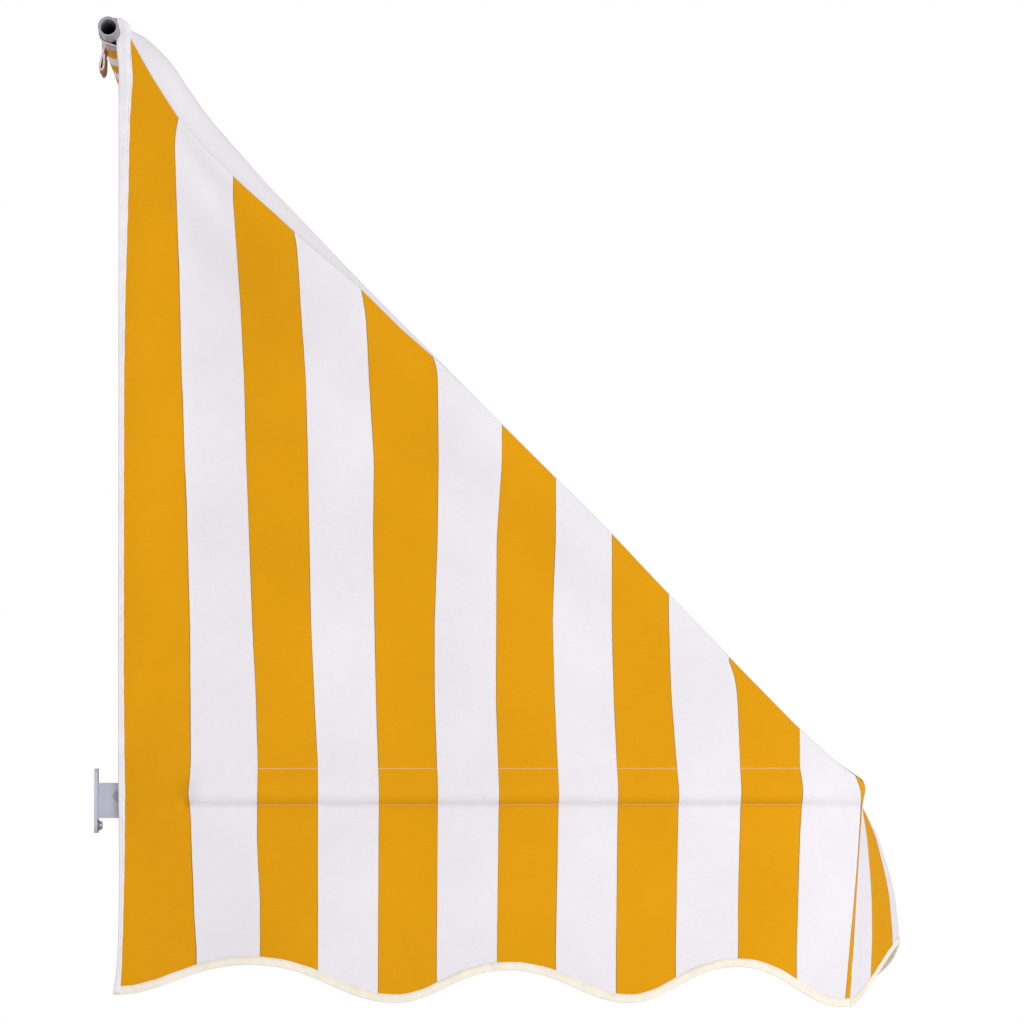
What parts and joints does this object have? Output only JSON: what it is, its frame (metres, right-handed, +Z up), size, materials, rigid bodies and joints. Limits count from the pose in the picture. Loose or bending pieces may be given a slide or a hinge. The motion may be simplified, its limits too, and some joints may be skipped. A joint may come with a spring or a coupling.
{
  "type": "window awning",
  "caption": "Fabric awning with closed sides and a scalloped valance, on a tube frame whose arms fold up about two wall brackets.",
  "frame": {"origin": "centre of the middle saddle's wall face, level with the top tube's axis", "axes": "+Y into the wall, X along the awning's width, +Z up; the awning reaches out towards -Y"},
  "size_m": [1.54, 1.2881, 1.5467],
  "materials": {
    "cloth": "matte woven cloth, orange-yellow and white stripes of equal width",
    "tape": "matte cream binding tape",
    "tube": "dull galvanised",
    "zinc": "zinc plated",
    "elbow": "cast, satin",
    "fastener": "zinc plated"
  },
  "bodies": {
    "wall_side": {"roof_panel": "cloth", "side_panel_left": "cloth", "side_panel_right": "cloth", "sleeve_tab_left": "cloth", "sleeve_tab_right": "cloth", "rear_tape_left": "tape", "rear_tape_right": "tape", "hem_tape_left": "tape", "hem_tape_right": "tape", "sleeve_tape_left": "tape", "sleeve_tape_right": "tape", "top_tube": "tube", "top_saddle_left": "zinc", "top_saddle_middle": "zinc", "top_saddle_right": "zinc", "lower_bracket_left": "zinc", "lower_bracket_right": "zinc", "top_screw_1": "fastener", "top_screw_2": "fastener", "top_screw_3": "fastener", "top_screw_4": "fastener", "top_screw_5": "fastener", "top_screw_6": "fastener", "fixing_screw_left": "fastener", "fixing_screw_right": "fastener", "fixing_washer_left": "fastener", "fixing_washer_right": "fastener", "pivot_bolt_left": "fastener", "pivot_bolt_right": "fastener", "pivot_nut_left": "fastener", "pivot_nut_right": "fastener", "pivot_washer_inner_left": "fastener", "pivot_washer_inner_right": "fastener", "pivot_washer_outer_left": "fastener", "pivot_washer_outer_right": "fastener"},
    "folding_frame": {"arm_left": "tube", "arm_right": "tube", "front_tube": "tube", "corner_elbow_left": "elbow", "corner_elbow_right": "elbow", "corner_screw_arm_left": "fastener", "corner_screw_arm_right": "fastener", "corner_screw_front_left": "fastener", "corner_screw_front_right": "fastener", "arm_pocket_left": "cloth", "arm_pocket_right": "cloth", "front_pocket": "cloth", "front_valance": "cloth", "front_hem_tape": "tape"}
  },
  "joints": [
    {"name": "frame_fold", "type": "hinge", "parent": "wall_side", "child": "folding_frame", "pos_m": [0, -0.036, -1.198], "axis": [-1, 0, 0], "range_deg": [0, 80], "deforming": ["roof_panel", "side_panel_left", "side_panel_right", "rear_tape_left", "rear_tape_right", "hem_tape_left", "hem_tape_right"]}
  ]
}
